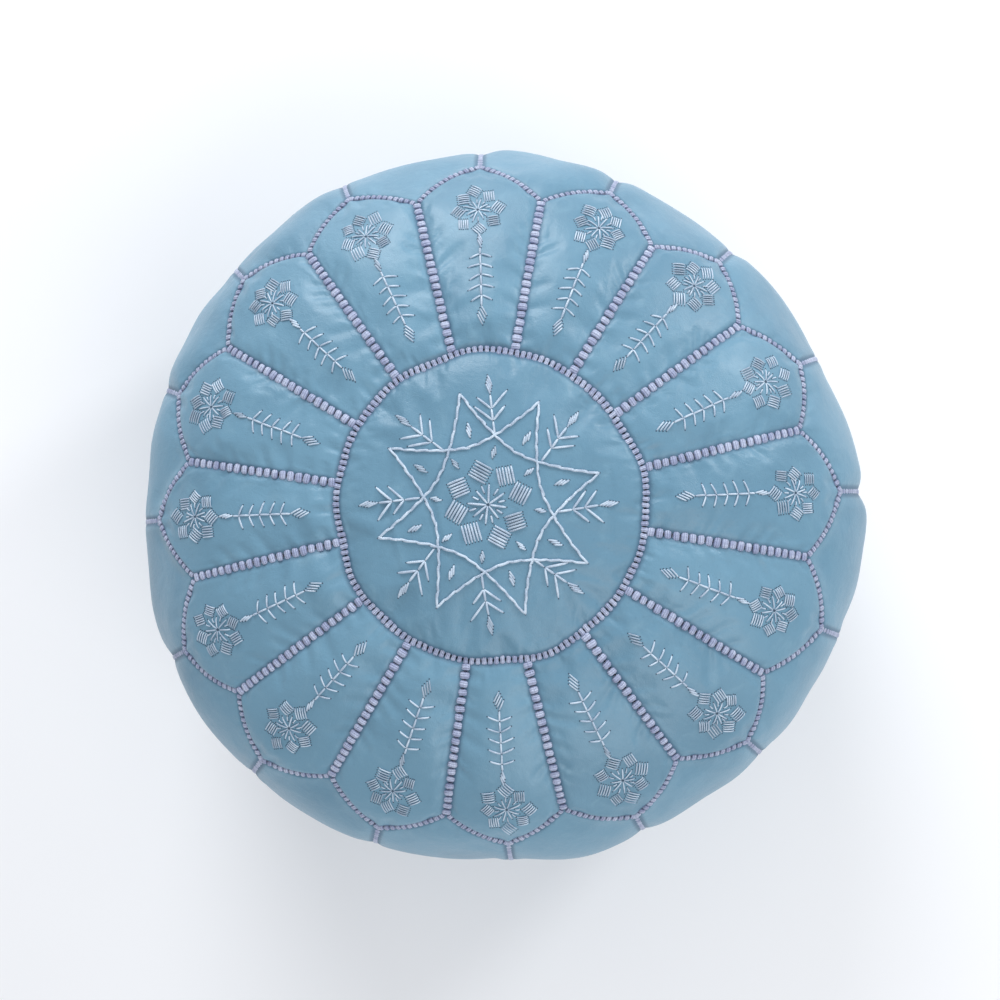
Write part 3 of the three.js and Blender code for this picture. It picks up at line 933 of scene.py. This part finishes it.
petalSprig = {"patch": 0.1285, "stemStart": 0.1370, "stemEnd": 0.1745,
              "bud": 0.1820, "flower": 0.2060, "pairs": 5}
petalFlower = {"reach": 0.0140, "side": 0.0088, "stray": 0.12, "count": 5, "ray": 0.0095}


def petalWork():
    work = Sampler(19)
    sizes, thread = petalSprig, threadWidth["petal"]
    run = sizes["stemEnd"] - sizes["stemStart"]
    for i in range(pouf["panels"]):
        middle = 2 * halfPanel * i
        turn = middle + float(waves(np.array(middle), wanderRound)) + work.shake(0.010)
        shift = work.shake(0.002)
        nodes = [sizes["stemStart"] + shift + run * (k + 0.7) / sizes["pairs"] for k in range(sizes["pairs"])]
        stops = [sizes["stemStart"] + shift - 0.002, *nodes, sizes["stemEnd"] + shift + 0.002]
        for a, b in zip(stops, stops[1:]):
            work.stitch(local((0, 0), turn, a), local((0, 0), turn, b), thread)
        for node in nodes:
            for side in (-1, 1):
                back, wide = 0.0032 + work.shake(0.0009), 0.0080 + work.shake(0.0010)
                leafEnd = local((0, 0), turn, node - back, side * wide)
                work.stitch(local((0, 0), turn, node), leafEnd, thread * 0.9)
        lean = math.radians(26) * (1 if i % 3 else -1)
        lozenge(work, local((0, 0), turn, sizes["patch"] + shift), turn, 0.0155, lean, 4, thread * 0.8)
        bud = local((0, 0), turn, sizes["bud"] + shift)
        lozenge(work, bud, turn + work.shake(0.1), 0.0130, math.radians(16), 3, thread)
        bloom = local((0, 0), turn, sizes["flower"] + shift, work.shake(0.0015))
        flower(work, bloom, turn + work.shake(0.1), petalFlower, threadWidth["flower"])
    return work


def landOn(surface, point, height=1.0):
    towards = Vector((0, 0, -math.copysign(1, height)))
    place, normal, _, _ = surface.ray_cast(Vector((*point, height)), towards)
    return place, normal


def sewDown(stitches, surface, height=1.0):
    points, normals, thick, tones, edges = [], [], [], [], []
    for start, end, width, tone in stitches:
        ends = [landOn(surface, point, height) for point in (start, end)]
        if any(place is None for place, _ in ends):
            continue
        out = (ends[0][1] + ends[1][1]).normalized()
        edges.append((len(points), len(points) + 1))
        for place, _ in ends:
            points.append(place)
            normals.append(tuple(out))
            thick.append(width)
            tones.append(tone)
    mesh = newMesh("stitches", points, edges=edges)
    giveValues(mesh, "tone", tones)
    giveValues(mesh, "out", normals, vector=True)
    giveValues(mesh, "thick", thick)
    return mesh


holeLook = {"radius": 0.00055, "sides": 6, "lift": 0.00012}


# painted shade: each needle hole is a small dark disc laid just above the leather, standing in for the shade
# inside the hole
def needleHoles(name, holes, surface, finish):
    points, faces = [], []
    for hole in holes:
        place, normal = landOn(surface, hole)
        if place is None:
            continue
        across = normal.orthogonal().normalized() * holeLook["radius"]
        start = len(points)
        for side in range(holeLook["sides"]):
            turn = Quaternion(normal, 2 * math.pi * side / holeLook["sides"])
            points.append(place + normal * holeLook["lift"] + turn @ across)
        points.append(place - normal * holeLook["radius"])
        for side in range(holeLook["sides"]):
            after = start + (side + 1) % holeLook["sides"]
            faces.append((start + side, after, start + holeLook["sides"]))
        faces.append(tuple(range(start, start + holeLook["sides"])))
    faces = [face if len(face) > 3 else face[::-1] for face in faces]
    obj = newObject(name, newMesh(name, points, faces), finish)
    return obj


def surfaceOf(objects):
    points, faces = [], []
    for obj in objects:
        start = len(points)
        points.extend(v.co.copy() for v in obj.data.vertices)
        faces.extend([start + i for i in face.vertices] for face in obj.data.polygons)
    return BVHTree.FromPolygons(points, faces)


# The base, the zip and the filling

base = {
    "rows": 30,
    "columns": 120,
    "channelRise": 0.0066,
    "channelFlat": 0.008,
    "channelEdge": 0.034,
    "channelFlatEnd": 0.185,
    "channelEnd": 0.203,
    "slotHalf": 0.006,
    "slotEnd": 0.172,
    "slotTaper": 0.010,
    "closedGap": 0.0005,
    "stitchAside": 0.0105,
    "stitchPitch": 0.0042,
    "stitchLength": 0.0031,
    "closingStitches": 9,
    "closingPitch": 0.0027,
}


def baseHeight(x, y):
    radius = np.hypot(x, y)
    below = outlineArc > girthArc
    order = np.argsort(outlineRadius[below])
    rim = np.interp(radius, outlineRadius[below][order], outlineHeight[below][order])
    along = 1 - smooth((np.abs(x) - base["channelFlatEnd"]) / (base["channelEnd"] - base["channelFlatEnd"]))
    across = 1 - smooth((np.abs(y) - base["channelFlat"]) / (base["channelEdge"] - base["channelFlat"]))
    return np.where(radius > pouf["footRadius"], rim, 0) + base["channelRise"] * along * across


def settled(x, y):
    girth = pouf["girthRadius"]
    spread = 1 + waves(np.arctan2(y, x), settling) / girth * smooth(np.hypot(x, y) / girth)
    return x * spread, y * spread


def baseObject(name, hand, finish):
    rim = pouf["baseSeamRadius"] - leatherCut["back"]
    widest = math.asin(math.sqrt(1 - (base["closedGap"] / rim) ** 2))
    turn = np.linspace(-widest, widest, base["columns"] + 1)[None, :]
    down = (np.linspace(0, 1, base["rows"] + 1) ** 1.5)[:, None]
    x = rim * np.sin(turn) + 0 * down
    slot = 1 - smooth((np.abs(x) - base["slotEnd"] + base["slotTaper"]) / base["slotTaper"])
    inner = base["closedGap"] + (base["slotHalf"] - base["closedGap"]) * slot
    outer = np.maximum(rim * np.cos(turn), inner)
    y = hand * (inner + (outer - inner) * down)
    radius = np.hypot(x, y)
    toRim, toSlot = (pouf["baseSeamRadius"] - radius).clip(0), np.abs(y) - inner
    z = baseHeight(x, y) + 0.0004 * (1 + np.sin(47 * x + 31 * y)) * smooth(toRim / 0.02)
    x, y = settled(x, y)
    mesh = newMesh(name, np.stack([x, y, z], -1).reshape(-1, 3), gridFaces(*radius.shape, flip=hand < 0))
    giveValues(mesh, "toSeam", np.minimum(toRim, toSlot + 0.003))
    giveValues(mesh, "along", np.arctan2(y, x) * rim)
    giveValues(mesh, "tone", 0 * x)
    return thicken(name + "_leather", mesh, finish)


def zipStitches():
    work = Sampler(31)
    count = int(2 * base["slotEnd"] / base["stitchPitch"])
    for hand in (-1, 1):
        for k in range(count):
            x = -base["slotEnd"] + (k + 0.5) * base["stitchPitch"]
            ends = [(x + part * base["stitchLength"] / 2, hand * base["stitchAside"]) for part in (-1, 1)]
            work.stitch(*ends, threadWidth["flower"], 0.0001)
        for k in range(base["closingStitches"]):  # these close the cut between the zip and the rim
            x = hand * (base["slotEnd"] + (k + 1) * base["closingPitch"])
            work.stitch((x - 0.0008, -0.0024), (x + 0.0008, 0.0024), threadWidth["flower"], 0.0001)
    return work.stitches


coil = {"start": -0.168, "end": 0.158, "aside": 0.00137, "height": 0.0070,
        "Pitch": 0.0021, "Width": 0.0024, "Height": 0.0022, "Lift": 0.0}


def coilObject(name, hand, bead, tree, finish):
    start = coil["start"] + (coil["Pitch"] / 2 if hand > 0 else 0) + coil["Pitch"] / 2
    ends = [(x, hand * coil["aside"], coil["height"]) for x in (start, coil["end"] - coil["Pitch"])]
    mesh = newMesh(name, ends, edges=[(0, 1)])
    giveValues(mesh, "out", [(0, 0, -1)] * 2, vector=True)
    values = {key: value for key, value in coil.items() if key[0].isupper()}
    return grow(name, mesh, tree, {**values, "Seed": 5, "Bead": bead, "Finish": finish})


bevel = {"zip_slider": 0.00030, "zip_pull": 0.00025, "zip_end_stop": 0.00030, "zip_top_stop": 0.00030,
         "zip_tape_front": 0.00012, "zip_tape_back": 0.00012}


def roundedObject(node, width, finish):
    shape = bmesh.new()
    shape.from_mesh(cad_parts[node].data)
    bmesh.ops.remove_doubles(shape, verts=shape.verts, dist=1e-6)
    bmesh.ops.dissolve_limit(shape, angle_limit=math.radians(1), verts=shape.verts, edges=shape.edges)
    bmesh.ops.recalc_face_normals(shape, faces=shape.faces)
    mesh = bpy.data.meshes.new(node + "_rounded")
    shape.to_mesh(mesh)
    shape.free()
    obj = newObject(node + "_rounded", mesh, finish)
    edge = obj.modifiers.new("edge", "BEVEL")
    edge.width = width
    edge.segments = 3
    edge.limit_method = "ANGLE"
    edge.harden_normals = True
    obj.data.shade_smooth()
    settle(obj)
    return obj


cotton = {"inset": 0.0075, "columns": 144, "rows": 90, "floorRows": 24, "lump": 0.0013, "floor": 0.0072,
          "channelTop": 0.0133, "channelHalf": (0.205, 0.037)}


def cottonObject(name, finish):
    turn = np.linspace(0, 2 * math.pi, cotton["columns"], endpoint=False)[None, :]
    arc = np.linspace(0.004, outlineArc[-1], cotton["rows"])[:, None]
    upper, normal = skinPoints(turn, arc, -cotton["inset"])
    lump = np.sin(83 * upper[..., 0] + 61 * upper[..., 2]) * np.sin(79 * upper[..., 1] - 37 * upper[..., 2])
    upper -= normal * (cotton["lump"] * (1 + lump))[..., None]
    share = np.linspace(1, 0.01, cotton["floorRows"])[1:, None]
    lower = np.stack([share * upper[-1, :, 0], share * upper[-1, :, 1], share * upper[-1, :, 2]], -1)
    place = np.concatenate([upper, lower])
    x, y = (np.abs(place[..., i]) / cotton["channelHalf"][i] for i in range(2))
    inChannel = (1 - smooth((x - 0.97) / 0.06)) * (1 - smooth((y - 0.9) / 0.2))
    floor = cotton["floor"] + (cotton["channelTop"] - cotton["floor"]) * inChannel
    lowHalf = np.arange(len(place)) > cotton["rows"] // 2
    place[..., 2] = np.where(lowHalf[:, None], np.maximum(place[..., 2], floor), place[..., 2])
    rows, columns = place.shape[:2]
    index = np.arange(rows * columns).reshape(rows, columns)
    beside = np.roll(index, -1, 1)
    faces = np.stack([index[:-1], index[1:], beside[1:], beside[:-1]], -1).reshape(-1, 4).tolist()
    points = place.reshape(-1, 3).tolist()
    for row, order in ((0, 1), (rows - 1, -1)):
        points.append(place[row].mean(0).tolist())
        for a, b in zip(index[row], beside[row]):
            faces.append((len(points) - 1, int(a), int(b))[::order])
    obj = newObject(name, newMesh(name, points, faces), finish)
    obj.data.shade_smooth()
    return obj


# Build

leather, yarn, thread = leatherFinish(), yarnFinish(), threadFinish()
nylon = plainFinish("zipNylon", colour(104, 134, 152), 0.42)
metal = plainFinish("zipMetal", colour(188, 186, 182), 0.32, 1.0)
fluff = plainFinish("cotton", colour(232, 226, 212), 0.95)
# painted shade: the dark colour of the needle-hole discs
holeShadeFinish = plainFinish("needleHole", colour(62, 84, 104), 0.8)
weave = weaveFinish()

patches = coverPatches()
shifts = coverShifts(patches)
chance = random.Random(3)
panels = {patch[0]: panelObject(patch, shift, leather, chance) for patch, shift in zip(patches, shifts)}
for node, hand in (("base_panel_front", -1), ("base_panel_back", 1)):
    panels[node] = baseObject(node, hand, leather)
print("panels cut:", len(panels))

topSeam, sideSeam = seamPieces(yarn)
print("seams overcast:", len(topSeam.data.polygons), len(sideSeam.data.polygons))

topSkin = surfaceOf([obj for name, obj in panels.items() if name.startswith(("top", "petal"))])
underSkin = surfaceOf([obj for name, obj in panels.items() if name.startswith("base")])
stitches, medallionSampler, petalSampler = stitchTree(), medallionWork(), petalWork()
medallionThread, petalThread, zipThread = (
    grow(name, sewDown(sewn, skin, height), stitches, {"Finish": thread}) for name, sewn, skin, height in (
        ("medallion_embroidery", medallionSampler.stitches, topSkin, 1.0),
        ("petal_embroidery", petalSampler.stitches, topSkin, 1.0),
        ("zip_stitching", zipStitches(), underSkin, -1.0)))
holes = needleHoles("needle_holes", medallionSampler.holes + petalSampler.holes, topSkin, holeShadeFinish)
print("stitches sewn:", len(medallionThread.data.polygons), len(petalThread.data.polygons))

tooth, coilTree = beadObject("coilTooth", 0.0, 0.2), overcastTree()
coils = {f"zip_coil_{word}": coilObject(f"zip_coil_{word}_teeth", hand, tooth, coilTree, nylon)
         for word, hand in (("front", -1), ("back", 1))}
filling = cottonObject("cotton_stuffing", fluff)
print("zip and filling made")

made = [(obj, node, "blue_leather") for node, obj in panels.items()]
made += [(topSeam, "top_seam", "seam_yarn"), (sideSeam, "side_seam", "seam_yarn"),
         (medallionThread, "star_embroidery", "embroidery_thread"), (petalThread, None, "embroidery_thread"),
         (zipThread, None, "embroidery_thread"), (holes, None, "blue_leather"),
         (filling, "cotton_filling", "cotton_filling")]
made += [(obj, node, "zip_nylon") for node, obj in coils.items()]
for node, width in bevel.items():
    look, slotName = (weave, "zip_cloth") if node.startswith("zip_tape") else (metal, "zip_metal")
    made.append((roundedObject(node, width, look), node, slotName))
bodies = {"zip_slider": "slider", "zip_pull": "pull"}
for obj, node, slotName in made:
    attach(obj, bodies.get(node, "pouf"))
    if node:
        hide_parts(node)


# Floor, light and camera

studio = {
    "roll": math.radians(2.45),
    "height": 1.248,
    "aim": (0.0018, 0.0077, 0.165),
    "aside": (0.0350, -0.0177),
    "lens": 50,
    "floor": 6.0,
    "sky": 0.62,
}
lights = {  # place, what it points at, size, watts, tone
    "windowLight": ((-0.5, 2.4, 1.45), (0, 0, 0.2), 1.5, 50, (0.96, 0.98, 1.0)),
    "glintLight": ((1.7, 1.3, 1.3), (0, 0, 0.25), 0.5, 16, (0.97, 0.99, 1.0)),
    "fillLight": ((0.9, -1.6, 2.0), (0, 0, 0.2), 2.0, 25, (1.0, 0.99, 0.97)),
}


def addFloor():
    size = studio["floor"]
    corners = [(-size, -size, 0), (size, -size, 0), (size, size, 0), (-size, size, 0)]
    mesh = newMesh("floor", corners, [(0, 1, 2, 3)])
    finish, recipe, place = newFinish("paleFloor")
    speckle = recipe.noise(place, 3, 3)
    base = recipe.mix(speckle, (0.90, 0.90, 0.91, 1), (0.86, 0.86, 0.875, 1))
    finishWith(recipe, {"Base Color": base, "Roughness": 0.9})
    floor = newObject("floor", mesh, finish)


def addLight(name, place, aim, size, power, tone):
    data = bpy.data.lights.new(name, "AREA")
    data.shape = "DISK"
    data.size = size
    data.energy = power
    data.color = tone
    lamp = bpy.data.objects.new(name, data)
    bpy.context.scene.collection.objects.link(lamp)
    lamp.location = place
    lamp.rotation_euler = (Vector(aim) - Vector(place)).to_track_quat("-Z", "Y").to_euler()


def addSky():
    world = bpy.data.worlds.new("sky")
    bpy.context.scene.world = world
    world.use_nodes = True
    back = world.node_tree.nodes["Background"]
    back.inputs["Color"].default_value = (0.92, 0.95, 1.0, 1)
    back.inputs["Strength"].default_value = studio["sky"]


def addCamera():
    data = bpy.data.cameras.new("camera")
    data.lens = studio["lens"]
    camera = bpy.data.objects.new("camera", data)
    bpy.context.scene.collection.objects.link(camera)
    camera.location = (*studio["aside"], studio["height"])
    down = Vector((0, 0, -1))
    lean = down.rotation_difference(Vector(studio["aim"]) - camera.location)
    camera.rotation_mode = "QUATERNION"
    camera.rotation_quaternion = lean @ Quaternion((0, 0, 1), -studio["roll"])
    bpy.context.scene.camera = camera


addFloor()
for name, settings in lights.items():
    addLight(name, *settings)
addSky()
addCamera()
bpy.context.scene.view_settings.view_transform = "Standard"
